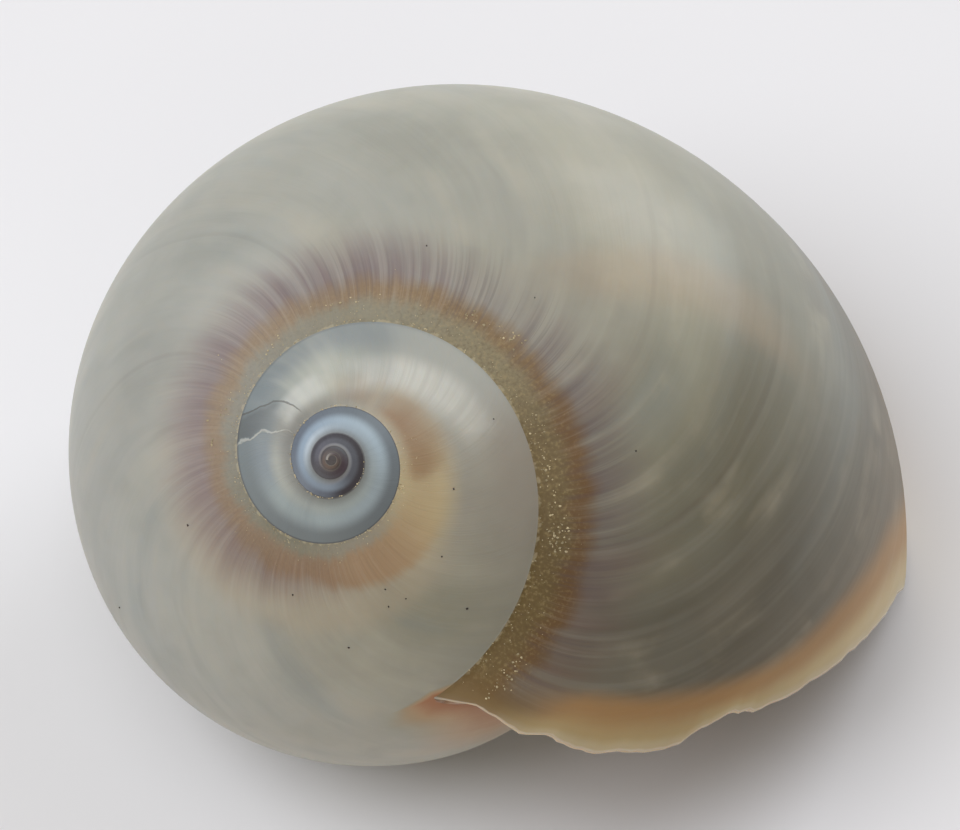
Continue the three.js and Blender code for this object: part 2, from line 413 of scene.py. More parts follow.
def chamber_rows():
    """Turn of each row of the inside, from the outer edge of the lip round it and inwards,
    with the thickness of the wall and of the glaze there. The last row is the chamber's end."""
    rounding = np.linspace(0, math.pi, ROUNDING_ROWS)
    edge_turns = 0.5 * LIP / (2 * math.pi * END_RADIUS * LIP_PLACE) * np.sin(rounding)
    edge_walls = 0.5 * LIP * (1 - np.cos(rounding))
    further = np.arange(CHIP_TURNS, CHAMBER_TURNS + 0.001, 1 / CHAMBER_TURN_ROWS)
    inner = -np.concatenate((CHAMBER_FIRST_ROWS, further))
    inner_walls = LIP + (WALL - LIP) * smooth(-inner / WALL_TURNS)
    turns = np.concatenate((edge_turns, inner, inner[-1:]))
    walls = np.concatenate((edge_walls, inner_walls, [WALL]))
    return turns, walls, GLAZE * smooth(np.arange(len(turns)) / GLAZE_ROWS)


def chamber():
    """Inside of the last whorls, from the edge of the lip inwards: round the young whorl's
    wall, up the columella and back along the older whorl to the suture."""
    turns, walls, glazes = chamber_rows()
    young = COLUMELLA_COLUMN
    older = BODY_COLUMNS
    loop = young + BRIDGE_ROWS + older
    piece, column, row = add_grid("chamber", loop, len(turns) - 1)
    young_start, older_start = chamber_corner(turns, walls, glazes)
    young_start[0], older_start[0] = TOP_START, ATTACH_END
    turn, wall, glaze = turns[row], walls[row], glazes[row]

    on_grid = arc_of(np.minimum(column, young), ATTACH_END)
    share = (on_grid - TOP_START) / (COLUMELLA_ARC - TOP_START)
    u = young_start[row] + (COLUMELLA_ARC - young_start[row]) * share
    t = turn + lag(u) + reach(turn, u) - chip_of_row(turn, u)
    young_points = stand(t, *inside(t, u, wall))

    back = np.clip(loop - column, 0, older)
    on_grid = arc_of(back + TOP_COLUMNS, ATTACH_END)
    share = (on_grid - ATTACH_END) / (COLUMELLA_ARC - ATTACH_END)
    v = older_start[row] + (COLUMELLA_ARC - older_start[row]) * share
    first = outer_turn(np.full_like(v, -1.0), v, ATTACH_END) + 1
    behind = lag(v) - lag(older_start[row]) + lag(young_start[row])
    behind = np.where(row == 0, first, behind)
    s = turn - 1 + behind
    older_points = stand(s, *inside(s, v, -glaze))

    share = np.clip((column - young) / BRIDGE_ROWS, 0, 1)[:, None]
    bridge_points = young_points * (1 - share) + older_points * share
    points = np.where((column <= young)[:, None], young_points, bridge_points)
    points = np.where((column >= young + BRIDGE_ROWS)[:, None], older_points, points)
    last = row == len(turns) - 1
    points[last] = points[last].mean(axis=0)
    from_lip = -turn * 2 * math.pi * MOUTH_RADIUS
    shape_grid(piece, points, inner_maps(turn, column / loop, from_lip))
    return piece


def columella():
    """Inner lip beside the umbilicus, from the base of the mouth back to the older whorl."""
    columns = COLUMNS - COLUMELLA_COLUMN
    piece, column, row = add_grid("columella", columns, BRIDGE_ROWS)
    share = row / BRIDGE_ROWS
    place = column + COLUMELLA_COLUMN
    u = arc_of(place, ATTACH_END)
    ends = []
    for turn in (0.0, -1.0):
        t = outer_turn(np.full_like(u, turn), u, ATTACH_END)
        ends.append(stand(t, *close_pit(*section(whorl(t), u), place)))
    points = ends[0] * (1 - share)[:, None] + ends[1] * share[:, None]
    across = UMBILICUS_ARC + floor_share(place)
    shape_grid(piece, points, inner_maps(share * INNER_LIP_TURNS, across, INNER_LIP))
    return piece


def build_shell():
    """Outside, chamber and inner lip, joined into one closed skin."""
    outer = outside()
    outer.data.materials.append(outside_material())
    rest = [chamber(), columella()]
    inner = inside_material()
    for piece in rest:
        piece.data.materials.append(inner)
    bpy.ops.object.select_all(action="DESELECT")
    for piece in [outer, *rest]:
        piece.select_set(True)
    bpy.context.view_layer.objects.active = outer
    bpy.ops.object.join()
    bpy.ops.object.mode_set(mode="EDIT")
    bpy.ops.mesh.select_mode(type="VERT")
    bpy.ops.mesh.select_all(action="SELECT")
    bpy.ops.mesh.remove_doubles(threshold=SAME_PLACE)
    bpy.ops.mesh.select_all(action="DESELECT")
    bpy.ops.mesh.select_non_manifold()
    bpy.ops.mesh.edge_face_add()
    bpy.ops.mesh.poke()
    bpy.ops.mesh.select_all(action="SELECT")
    bpy.ops.mesh.normals_make_consistent(inside=False)
    bpy.ops.object.mode_set(mode="OBJECT")
    bpy.ops.object.shade_smooth()
    return outer


# ---------------------------------------------------------------- nodes


def tint(red, green, blue):
    """A colour from its 0 to 255 screen values, as the linear values that shaders use."""
    linear = [((v / 255 + 0.055) / 1.055) ** 2.4 for v in (red, green, blue)]
    return (*linear, 1)


class Nodes:
    """Adds nodes to one tree and joins them up. Inputs are numbers, colours or sockets."""

    def __init__(self, tree):
        self.tree = tree

    def node(self, kind, inputs=None, **settings):
        node = self.tree.nodes.new(kind)
        for name, value in settings.items():
            setattr(node, name, value)
        for name, value in (inputs or {}).items():
            self.feed(node.inputs[name], value)
        return node

    def feed(self, socket, value):
        if isinstance(value, bpy.types.NodeSocket):
            self.tree.links.new(value, socket)
        else:
            socket.default_value = value

    def math(self, operation, *values):
        result = values[0]
        for value in values[1:]:
            node = self.node("ShaderNodeMath", {0: result, 1: value}, operation=operation)
            result = node.outputs[0]
        return result

    def times(self, *values):
        return self.math("MULTIPLY", *values)

    def plus(self, *values):
        return self.math("ADD", *values)

    def minus(self, first, second):
        return self.math("SUBTRACT", first, second)

    def swing(self, pattern, size):
        """How far a pattern is above or below its middle, made a given size."""
        return self.times(self.minus(pattern, 0.5), size)

    def step(self, value, low, high):
        """0 where the value is at low, 1 where it is at high, with a soft step between."""
        inputs = {"Value": value, "From Min": low, "From Max": high}
        return self.node("ShaderNodeMapRange", inputs, interpolation_type="SMOOTHSTEP").outputs[0]

    def band(self, value, low, high, soft):
        """1 between low and high, falling to 0 over a soft margin on both sides."""
        return self.times(self.step(value, low - soft, low), self.step(value, high + soft, high))

    def ramp(self, value, stops):
        """Colours or shades at rising values, with soft changes between them."""
        low, high = stops[0][0], stops[-1][0]
        inputs = {"Value": value, "From Min": low, "From Max": high}
        share = self.node("ShaderNodeMapRange", inputs).outputs[0]
        node = self.node("ShaderNodeValToRGB", {"Fac": share})
        node.color_ramp.interpolation = "EASE"
        points = node.color_ramp.elements
        for i, (place, colour) in enumerate(stops):
            point = points[i] if i < 2 else points.new(1.0)
            point.position = (place - low) / (high - low)
            point.color = colour if isinstance(colour, tuple) else (colour, colour, colour, 1)
        return node.outputs["Color"]

    def mix(self, amount, first, second, how="MIX"):
        node = self.node("ShaderNodeMix", data_type="RGBA", blend_type=how)
        self.feed(node.inputs[0], amount)
        self.feed(node.inputs[6], first)
        self.feed(node.inputs[7], second)
        return node.outputs[2]

    def cover(self, under, over, *amounts):
        """One colour laid over another, as thickly as the product of the amounts says."""
        return self.mix(self.times(*amounts), under, over)

    def noise(self, place, scale, detail, roughness=0.5):
        inputs = {"Vector": place, "Scale": scale, "Detail": detail, "Roughness": roughness}
        return self.node("ShaderNodeTexNoise", inputs).outputs["Fac"]

    def map_of(self, name):
        """The two values of one of the piece's maps."""
        uv = self.node("ShaderNodeUVMap", uv_map=name).outputs[0]
        split = self.node("ShaderNodeSeparateXYZ", {0: uv})
        return split.outputs[0], split.outputs[1]

    def group(self, tree, **inputs):
        node = self.node("ShaderNodeGroup", node_tree=tree)
        for name, value in inputs.items():
            self.feed(node.inputs[name.replace("_", " ")], value)
        return node.outputs[0]

    def mottling(self, size, detail):
        return self.group(MOTTLING, Size=size, Detail=detail)

    def shaded(self, colour, mottle, amount):
        """A colour with the lights and darks of a mottling laid softly over it."""
        return self.mix(amount, colour, self.ramp(mottle, ((0.3, 0.25), (0.7, 0.75))), "SOFT_LIGHT")


def new_group(name, inputs):
    """A node group that puts out one value, with its helper, inputs and output."""
    tree = bpy.data.node_groups.new(name, "ShaderNodeTree")
    for label, value in inputs.items():
        socket = tree.interface.new_socket(label, in_out="INPUT", socket_type="NodeSocketFloat")
        socket.default_value = value
    tree.interface.new_socket("Value", in_out="OUTPUT", socket_type="NodeSocketFloat")
    n = Nodes(tree)
    given = n.node("NodeGroupInput").outputs
    out = n.node("NodeGroupOutput").inputs[0]
    return tree, n, given, out


def growth_lines_group():
    """Streaks that keep to the growth lines: long across the whorl and short along it."""
    inputs = {"Turn": 0.0, "Across": 0.0, "Lines per turn": 100.0, "Drift": 1.0}
    tree, n, given, out = new_group("growth lines", inputs)
    along_turn = n.times(given["Turn"], given["Lines per turn"])
    across = n.times(given["Across"], given["Drift"])
    place = n.node("ShaderNodeCombineXYZ", {0: along_turn, 1: across}).outputs[0]
    n.feed(out, n.noise(place, 1.0, 2.5, 0.6))
    return tree


def mottling_group():
    """Fine mottling in the shell's own space, its size in metres."""
    tree, n, given, out = new_group("mottling", {"Size": 0.001, "Detail": 3.0})
    place = n.node("ShaderNodeTexCoord").outputs["Object"]
    n.feed(out, n.noise(place, n.math("DIVIDE", 1.0, given["Size"]), given["Detail"]))
    return tree


LINES = growth_lines_group()
MOTTLING = mottling_group()


def new_material(name, **constants):
    """A material with its Principled shader, and the helper that adds nodes to it."""
    material = bpy.data.materials.new(name)
    material.use_nodes = True
    shader = material.node_tree.nodes["Principled BSDF"]
    for socket, value in constants.items():
        shader.inputs[socket.replace("_", " ")].default_value = value
    return material, shader, Nodes(material.node_tree)


# ---------------------------------------------------------------- outside of the shell

# Where growth paused on the last whorl: turn, and strength of the crease that it left
CREASES = ((-0.135, 0.22), (-0.22, 0.1), (-0.476, 0.08), (-0.58, 0.1))
STAINED_PAUSES = (-0.125, -0.22)


class Place:
    """Where a point of the outside is, by the three maps, and the patterns there."""

    def __init__(self, n):
        self.n = n
        self.turn, self.arc = n.map_of("growth")
        self.to_lip, self.to_mouth = n.map_of("edge")
        self.plain_turn, self.share = n.map_of("band")
        self.streaks = self.lines(14.0, 1.1)
        self.fine = self.lines(110.0, 1.2)
        self.hair = self.lines(370.0, 1.6)
        self.mottle = n.mottling(0.004, 4.0)

    def lines(self, per_turn, drift):
        return self.n.group(
            LINES, Turn=self.turn, Across=self.arc, Lines_per_turn=per_turn, Drift=drift
        )


def last_whorl_colour(n, at):
    """Broad cream, olive and blue-grey bands that follow the growth lines, paler on the
    whorl's side."""
    body = n.ramp(at.turn, (
        (-1.2, tint(138, 134, 116)), (-1.0, tint(146, 142, 122)), (-0.91, tint(160, 156, 140)),
        (-0.80, tint(174, 170, 156)), (-0.70, tint(173, 171, 160)), (-0.60, tint(168, 167, 158)),
        (-0.51, tint(176, 176, 166)), (-0.42, tint(174, 173, 161)), (-0.32, tint(162, 160, 145)),
        (-0.24, tint(156, 153, 137)), (-0.19, tint(134, 131, 112)), (-0.13, tint(106, 102, 84)),
        (-0.07, tint(90, 84, 70)), (0.0, tint(106, 96, 78)),
    ))
    pale_most = n.ramp(at.turn, ((-0.3, 0.32), (-0.2, 0.3), (-0.1, 0.12), (0.0, 0.2)))
    body = n.cover(body, tint(190, 184, 162), n.step(at.streaks, 0.5, 0.72), pale_most)
    body = n.cover(body, tint(130, 138, 136), n.step(at.streaks, 0.48, 0.3), 0.34)
    strips = at.lines(42.0, 2.6)
    broken = n.step(at.mottle, 0.38, 0.6)
    body = n.cover(body, tint(186, 176, 152), n.step(strips, 0.5, 0.72), broken, 0.24)
    body = n.cover(body, tint(104, 104, 96), n.step(strips, 0.5, 0.28), broken, 0.22)
    body = n.cover(body, tint(124, 126, 116), n.step(at.mottle, 0.5, 0.3), 0.12)
    side = n.times(n.step(at.arc, 0.72, 1.25), n.band(at.turn, -0.5, -0.13, 0.12))
    body = n.cover(body, tint(186, 189, 177), side, 0.36)
    shoulder = n.times(n.band(at.arc, 0.42, 0.5, 0.1), n.step(at.turn, -0.62, -0.8))
    body = n.cover(body, tint(174, 160, 136), shoulder, 0.5)
    grey = n.times(n.band(at.arc, 0.62, 0.95, 0.2), n.band(at.turn, -0.75, -0.35, 0.15))
    body = n.cover(body, tint(148, 154, 152), grey, 0.3)
    cream = n.times(n.band(at.turn, -0.26, -0.19, 0.04), n.band(at.arc, 0.72, 1.0, 0.14))
    body = n.cover(body, tint(192, 190, 168), cream, 0.22)
    smear_line = n.minus(at.turn, n.times(at.arc, 0.3))
    smear = n.times(n.band(smear_line, -0.45, -0.438, 0.022), n.band(at.arc, 0.62, 0.94, 0.2))
    body = n.cover(body, tint(178, 152, 120), smear, 0.26)
    body = n.cover(body, tint(188, 184, 170), n.step(at.fine, 0.42, 0.7), 0.09)
    for pause, strength in CREASES:
        crease = n.band(at.turn, pause - 0.0008, pause + 0.0008, 0.0022)
        body = n.cover(body, tint(96, 86, 74), crease, n.step(at.arc, 1.3, 0.6), strength)
    for pause in STAINED_PAUSES:
        stain = n.band(at.turn, pause - 0.002, pause + 0.002, 0.012)
        body = n.cover(body, tint(104, 76, 62), stain, n.step(at.arc, 0.62, 0.34), 0.42)
    return body


def suture_bands(n, at, colour):
    """Bands beside the suture of the last whorl: mauve, then rust, then olive against it,
    with grit ground into them."""
    edge_arc = n.plus(at.arc, n.swing(at.fine, 0.045))
    blot_arc = n.plus(edge_arc, n.swing(n.mottling(0.0022, 3.0), 0.05))

    mauve_most = n.ramp(at.turn, (
        (-1.2, 0.0), (-1.0, 0.04), (-0.93, 0.36), (-0.84, 0.78), (-0.76, 0.76), (-0.68, 0.8),
        (-0.55, 0.82), (-0.45, 0.92), (-0.38, 0.9), (-0.3, 0.6), (-0.2, 0.9), (-0.08, 0.9),
        (0.0, 0.4),
    ))
    mauve_end = n.ramp(at.turn, ((-1.2, 0.48), (-0.9, 0.48), (-0.78, 0.55), (0.0, 0.55)))
    mauve = n.times(n.step(edge_arc, 0.30, 0.36), n.step(edge_arc, mauve_end, 0.37), mauve_most)
    streaky = n.ramp(at.turn, (
        (-1.2, 0.15), (-0.9, 0.15), (-0.6, 0.18), (-0.46, 0.4), (-0.3, 0.5), (0.0, 0.5),
    ))
    streaks = n.minus(1.0, n.times(n.step(at.fine, 0.36, 0.64), streaky))
    mauve_colour = n.ramp(at.turn, (
        (-1.2, tint(150, 122, 104)), (-0.9, tint(124, 102, 92)), (-0.7, tint(122, 100, 100)),
        (-0.5, tint(118, 98, 98)), (-0.35, tint(118, 104, 102)), (-0.15, tint(102, 90, 86)),
        (0.0, tint(110, 84, 62)),
    ))
    colour = n.cover(colour, mauve_colour, mauve, streaks)

    rust_colour = n.ramp(at.turn, (
        (-1.2, tint(176, 146, 98)), (-1.0, tint(158, 128, 94)), (-0.9, tint(138, 110, 82)),
        (-0.8, tint(136, 111, 82)), (-0.6, tint(146, 124, 94)), (-0.4, tint(134, 107, 66)),
        (-0.3, tint(128, 99, 52)), (-0.2, tint(110, 78, 32)), (-0.1, tint(98, 67, 18)),
        (-0.03, tint(108, 79, 34)), (0.0, tint(118, 92, 54)),
    ))
    rust_end = n.ramp(at.turn, (
        (-1.2, 0.46), (-1.0, 0.435), (-0.9, 0.378), (-0.75, 0.36), (-0.5, 0.362), (-0.3, 0.368),
        (-0.2, 0.38), (-0.1, 0.378), (0.0, 0.34),
    ))
    rust = n.step(n.minus(blot_arc, rust_end), 0.028, -0.024)
    colour = n.cover(colour, rust_colour, rust, 0.88)

    olive_colour = n.ramp(at.turn, (
        (-1.2, tint(148, 144, 124)), (-1.0, tint(144, 140, 124)), (-0.85, tint(126, 124, 104)),
        (-0.6, tint(138, 137, 124)), (-0.4, tint(134, 130, 108)), (-0.3, tint(138, 129, 98)),
        (-0.2, tint(114, 98, 62)), (-0.1, tint(100, 82, 40)), (0.0, tint(114, 93, 52)),
    ))
    olive_end = n.ramp(at.turn, (
        (-1.2, 0.31), (-0.9, 0.305), (-0.4, 0.316), (-0.25, 0.33), (-0.15, 0.338),
        (-0.05, 0.325), (0.0, 0.31),
    ))
    olive = n.step(n.minus(blot_arc, olive_end), 0.022, -0.016)
    colour = n.cover(colour, olive_colour, olive, 0.85)

    grit = n.mottling(0.0002, 3.0)
    grit_most = n.ramp(at.plain_turn, (
        (-1.2, 0.0), (-0.95, 0.3), (-0.45, 0.4), (-0.3, 1.0), (0.0, 1.0),
    ))
    gritty = n.times(n.step(at.arc, 0.40, 0.31), grit_most, 0.3)
    colour = n.cover(colour, tint(176, 156, 108), gritty, n.step(grit, 0.5, 0.7))
    return n.cover(colour, tint(88, 66, 34), gritty, n.step(grit, 0.5, 0.32))


def striae(n, at, colour):
    """Fine pale lines and dark furrows that start at the suture of the last whorl."""
    length = n.plus(0.34, n.times(at.fine, 0.2))
    end = n.step(n.minus(length, at.arc), -0.08, 0.06)
    where = n.times(end, n.step(at.arc, 0.30, 0.345), n.step(at.turn, -1.2, -1.0))
    pale_most = n.ramp(at.turn, (
        (-1.2, 0.07), (-0.65, 0.07), (-0.48, 0.15), (-0.35, 0.1), (0.0, 0.05),
    ))
    colour = n.cover(colour, tint(196, 188, 174), n.step(at.hair, 0.52, 0.66), where, pale_most)
    dark_most = n.ramp(at.turn, (
        (-1.2, 0.1), (-0.65, 0.1), (-0.48, 0.24), (-0.3, 0.3), (0.0, 0.3),
    ))
    return n.cover(colour, tint(88, 74, 74), n.step(at.hair, 0.48, 0.36), where, dark_most)


def suture_groove(n, at, colour):
    """Shade in the groove of the older whorls' suture and along their rims, and the line of
    pale crust that lies in the suture."""
    groove = n.times(n.step(at.share, 0.26, 0.02), n.step(at.plain_turn, -1.3, -1.5))
    colour = n.cover(colour, tint(92, 88, 78), groove, 0.6)
    deep = n.times(n.step(at.share, 0.05, 0.01), n.step(at.plain_turn, -1.7, -2.0))
    colour = n.cover(colour, tint(46, 38, 42), deep, 0.75)
    rim = n.times(n.step(at.share, 0.95, 0.99), n.step(at.plain_turn, -1.15, -1.9))
    colour = n.cover(colour, tint(66, 62, 62), rim, 0.6)
    crumbs = n.mottling(0.00045, 2.0)
    crust_arc = n.minus(at.arc, n.times(n.step(crumbs, 0.5, 0.66), 0.004))
    crust = n.times(n.step(crust_arc, 0.2775, 0.2740), n.step(crumbs, 0.42, 0.6))
    crust_most = n.ramp(at.plain_turn, ((-2.4, 0.0), (-2.0, 0.25), (-1.1, 0.25), (-1.0, 0.36)))
    return n.cover(colour, tint(196, 184, 152), crust, crust_most)


def lip_border(n, at, colour):
    """Border of the lip: the whorl's grey gives way to orange, cream and a white broken
    edge."""
    wider = n.plus(1.0, n.times(n.step(at.arc, 0.8, 1.4), 0.7))
    from_edge = n.math("DIVIDE", n.plus(at.to_lip, n.swing(at.mottle, 1.2)), wider)
    orange = n.times(n.band(from_edge, 1.3, 2.3, 1.7), n.step(at.arc, 0.36, 0.5))
    colour = n.cover(colour, tint(172, 130, 76), orange, 0.72)
    cream = n.ramp(at.arc, ((0.5, tint(172, 152, 108)), (1.4, tint(194, 176, 134))))
    colour = n.cover(colour, cream, n.step(from_edge, 2.3, 0.6), 0.85)
    colour = n.cover(colour, tint(192, 180, 152), n.step(at.to_lip, 0.9, 0.2), 0.5)
    near_suture = n.times(n.step(at.arc, 0.47, 0.34), n.step(at.to_lip, 3.6, 1.6))
    colour = n.cover(colour, tint(112, 86, 44), near_suture, 0.8)
    return n.cover(colour, tint(204, 194, 180), n.step(at.to_lip, 0.18, 0.05), 0.5)


def mouth_glaze(n, at, colour):
    """Glaze that runs out over the older whorl beside the mouth."""
    spread = n.ramp(at.arc, ((0.9, 0.16), (1.05, 0.4), (1.4, 1.0), (2.0, 0.9), (2.4, 0.7)))
    wander = n.plus(at.to_mouth, n.swing(at.mottle, 2.0))
    from_mouth = n.math("DIVIDE", wander, n.times(spread, 1.4))
    halo = n.times(n.step(from_mouth, 9.5, 4.0), n.step(at.arc, 1.3, 1.0))
    colour = n.cover(colour, tint(146, 132, 86), halo, 0.55)
    colour = n.cover(colour, tint(186, 148, 108), n.step(from_mouth, 8.5, 2.5), 0.8)
    return n.cover(colour, tint(160, 101, 58), n.step(from_mouth, 4.4, 0.8), 0.85)


def scar_masks(n, at):
    """Masks of the healed scar: its fine late line, its pale early line and the patch
    between them."""
    ragged = n.minus(n.mottling(0.0011, 3.0), 0.5)
    from_early = n.plus(at.plain_turn, 1.602, n.times(at.share, 0.073), n.times(ragged, -0.03))
    early = n.times(n.band(from_early, -0.0006, 0.0008, 0.002), n.step(at.share, 0.0, 0.08))
    bend = n.times(n.step(at.share, 0.1, 1.1), 0.085)
    from_late = n.plus(at.plain_turn, 1.548, bend, n.times(ragged, -0.02))
    late = n.times(n.band(from_late, -0.001, 0.001, 0.002), n.band(at.share, 0.2, 0.95, 0.1))
    between = n.times(n.step(from_early, 0.0, 0.006), n.step(from_late, 0.004, -0.012))
    return late, early, n.times(between, n.step(at.share, 0.2, 0.7))


def spire_colour(n, at, scar):
    """The older whorls, each with its own colour beside the suture, on its back and along its
    rim, and the healed scar on the last of them, with painted highlights laid on some of them."""
    inner = n.ramp(at.plain_turn, (
        (-5.7, tint(169, 158, 138)), (-5.45, tint(80, 58, 50)), (-5.1, tint(129, 119, 105)),
        (-4.6, tint(93, 84, 81)), (-4.1, tint(58, 38, 38)), (-3.85, tint(96, 84, 80)),
        # the lighter stops at -3.6 and -3.35 are partly a painted highlight beside the suture
        (-3.6, tint(130, 128, 134)), (-3.35, tint(144, 148, 154)), (-3.0, tint(124, 126, 130)),
        (-2.8, tint(128, 138, 142)), (-2.6, tint(176, 190, 200)), (-2.4, tint(146, 162, 172)),
        (-2.0, tint(150, 158, 154)), (-1.7, tint(164, 166, 156)), (-1.6, tint(140, 140, 130)),
        (-1.5, tint(176, 176, 160)), (-1.3, tint(168, 156, 132)), (-1.12, tint(184, 167, 128)),
        (-1.0, tint(176, 154, 118)),
    ))
    back = n.ramp(at.plain_turn, (
        (-5.7, tint(160, 155, 146)), (-5.35, tint(65, 52, 50)), (-4.85, tint(101, 84, 72)),
        (-4.35, tint(71, 65, 67)), (-4.1, tint(58, 41, 47)), (-3.85, tint(74, 69, 71)),
        (-3.6, tint(81, 81, 91)), (-3.35, tint(72, 74, 81)), (-3.1, tint(79, 81, 88)),
        (-2.9, tint(126, 138, 150)), (-2.6, tint(136, 156, 174)), (-2.3, tint(158, 176, 186)),
        (-2.1, tint(149, 161, 165)), (-1.8, tint(154, 164, 162)), (-1.7, tint(134, 144, 148)),
        (-1.6, tint(130, 138, 136)), (-1.5, tint(168, 172, 160)), (-1.3, tint(173, 172, 161)),
        (-1.15, tint(152, 147, 133)), (-1.0, tint(142, 140, 126)),
    ))
    rim = n.ramp(at.plain_turn, (
        (-5.6, tint(140, 134, 128)), (-5.35, tint(77, 65, 65)), (-5.1, tint(69, 57, 48)),
        (-4.85, tint(98, 84, 77)), (-4.6, tint(64, 57, 58)), (-4.35, tint(81, 83, 86)),
        (-4.1, tint(64, 50, 57)), (-3.85, tint(83, 81, 84)), (-3.6, tint(50, 48, 57)),
        (-3.25, tint(43, 38, 43)), (-3.0, tint(52, 46, 52)), (-2.9, tint(94, 100, 110)),
        (-2.8, tint(114, 122, 132)), (-2.6, tint(80, 92, 106)), (-2.3, tint(108, 118, 124)),
        (-2.1, tint(102, 109, 112)), (-1.9, tint(116, 122, 122)), (-1.6, tint(126, 136, 138)),
        (-1.45, tint(146, 152, 150)), (-1.3, tint(168, 169, 160)), (-1.2, tint(150, 143, 130)),
        (-1.0, tint(143, 141, 128)),
    ))
    inner_width = n.times(n.step(at.plain_turn, -3.1, -2.8), 0.14)
    colour = n.mix(n.step(n.minus(at.share, inner_width), 0.08, 0.3), inner, back)
    colour = n.mix(n.step(at.share, 0.46, 0.8), colour, rim)

    drift = n.plus(at.turn, n.swing(at.mottle, 0.16))
    rust_edge = n.plus(at.share, n.swing(at.mottle, 0.25))
    rust_most = n.ramp(drift, (
        (-1.6, 0.0), (-1.47, 0.0), (-1.42, 0.3), (-1.38, 0.5), (-1.33, 0.2), (-1.27, 0.9),
        (-1.19, 0.85), (-1.14, 0.25), (-1.05, 0.2), (-1.0, 0.2),
    ))
    rust = n.times(n.step(rust_edge, 0.40, 0.12), n.step(at.share, 0.0, 0.1), rust_most)
    colour = n.cover(colour, tint(138, 102, 62), rust, 0.8)
    # Pale streaks along the growth lines beside the scar, partly the whorl's own pale marks and
    # partly a painted highlight
    white = n.times(n.step(at.streaks, 0.46, 0.66), n.band(at.plain_turn, -1.56, -1.46, 0.06))
    colour = n.cover(colour, tint(208, 206, 192), white, 0.35)
    # Painted highlight: a soft pale patch across the middle of the whorl before the last, streaked
    # along its growth lines
    highlight_streaks = n.plus(0.6, n.times(n.step(at.fine, 0.36, 0.62), 0.4))
    off_middle = n.minus(at.share, n.plus(2.87, n.times(at.plain_turn, 1.8)))
    painted_highlight = n.times(n.band(drift, -1.36, -1.24, 0.08), n.band(off_middle, -0.06, 0.06, 0.22))
    colour = n.cover(colour, tint(212, 212, 202), painted_highlight, highlight_streaks, 0.6)
    # A second painted highlight: a pale patch beside the scar
    painted_highlight = n.times(n.band(drift, -1.56, -1.5, 0.05), n.band(at.share, 0.2, 0.36, 0.14))
    colour = n.cover(colour, tint(206, 208, 200), painted_highlight, 0.6)
    grey = n.times(n.step(at.streaks, 0.54, 0.26), n.band(at.plain_turn, -2.6, -1.4, 0.2))
    colour = n.cover(colour, tint(112, 122, 126), grey, 0.3)

    late, early, patch = scar
    colour = n.cover(colour, tint(92, 98, 98), patch, 0.75)
    colour = n.cover(colour, tint(198, 198, 188), early, 0.6)
    return n.cover(colour, tint(84, 84, 78), late, 0.7)


def outside_material():
    """Satin outside, its colours laid over one another from the whorls out to the lip."""
    material, shader, n = new_material(
        "shell outside", Coat_Roughness=0.24,
        Subsurface_Scale=0.001, Subsurface_Radius=(1.0, 0.55, 0.3),
    )
    at = Place(n)
    scar = scar_masks(n, at)
    colour = suture_bands(n, at, last_whorl_colour(n, at))
    colour = n.mix(n.step(at.plain_turn, -1.0, -1.16), colour, spire_colour(n, at, scar))
    colour = suture_groove(n, at, striae(n, at, colour))
    under = n.step(at.arc, 1.9, 3.2)
    colour = n.cover(colour, tint(190, 166, 130), under, 0.75)
    colour = mouth_glaze(n, at, lip_border(n, at, colour))
    n.feed(shader.inputs["Base Color"], n.shaded(colour, at.mottle, 0.12))

    gloss = n.ramp(at.plain_turn, (
        (-4.0, 0.04), (-3.3, 0.1), (-2.8, 0.28), (-1.25, 0.28), (-1.0, 0.06),
    ))
    n.feed(shader.inputs["Coat Weight"], gloss)
    n.feed(shader.inputs["Subsurface Weight"], n.times(n.step(at.plain_turn, -2.2, -0.9), 0.3))
    n.feed(shader.inputs["Roughness"], n.plus(0.4, n.times(at.fine, 0.18)))
    late, early, _ = scar
    scar_lines = n.times(n.plus(late, early), 1.5)
    height = n.plus(n.times(at.fine, 0.35), n.times(at.hair, 0.4), scar_lines)
    bump = n.node("ShaderNodeBump", {"Height": height, "Strength": 0.3, "Distance": 0.00012})
    n.feed(shader.inputs["Normal"], bump.outputs[0])
    return material


# ---------------------------------------------------------------- inside and floor


def inside_material():
    """Polished inside of the chamber, ivory at the lip and tan to brown deeper in."""
    material, shader, n = new_material(
        "shell inside", Coat_Weight=0.3, Coat_Roughness=0.12,
        Subsurface_Weight=0.3, Subsurface_Scale=0.0014, Subsurface_Radius=(1.0, 0.5, 0.25),
    )
    turn, across = n.map_of("growth")
    from_lip, _ = n.map_of("edge")
    lines = n.group(LINES, Turn=turn, Across=across, Lines_per_turn=60.0, Drift=6.0)
    mottle = n.mottling(0.006, 3.0)
    colour = n.ramp(from_lip, (
        (0.0, tint(194, 174, 144)), (1.5, tint(176, 136, 92)), (5.0, tint(146, 94, 52)),
        (14.0, tint(128, 78, 46)), (32.0, tint(108, 70, 52)), (60.0, tint(90, 66, 56)),
    ))
    colour = n.cover(colour, tint(150, 98, 60), n.step(across, 0.56, 0.66), 0.75)
    colour = n.cover(colour, tint(214, 198, 172), n.step(lines, 0.45, 0.7), 0.2)
    n.feed(shader.inputs["Base Color"], n.shaded(colour, mottle, 0.15))
    n.feed(shader.inputs["Roughness"], n.plus(0.2, n.times(mottle, 0.12)))
    bump = n.node("ShaderNodeBump", {"Height": lines, "Strength": 0.15, "Distance": 0.0001})
    n.feed(shader.inputs["Normal"], bump.outputs[0])
    return material


def floor_material():
    material, shader, n = new_material("floor", Roughness=0.85)
    colour = n.ramp(n.mottling(0.08, 2.0), (
        (0.3, (0.80, 0.80, 0.81, 1)), (0.7, (0.83, 0.83, 0.84, 1)),
    ))
    n.feed(shader.inputs["Base Color"], colour)
    return material


# ---------------------------------------------------------------- camera, floor and light


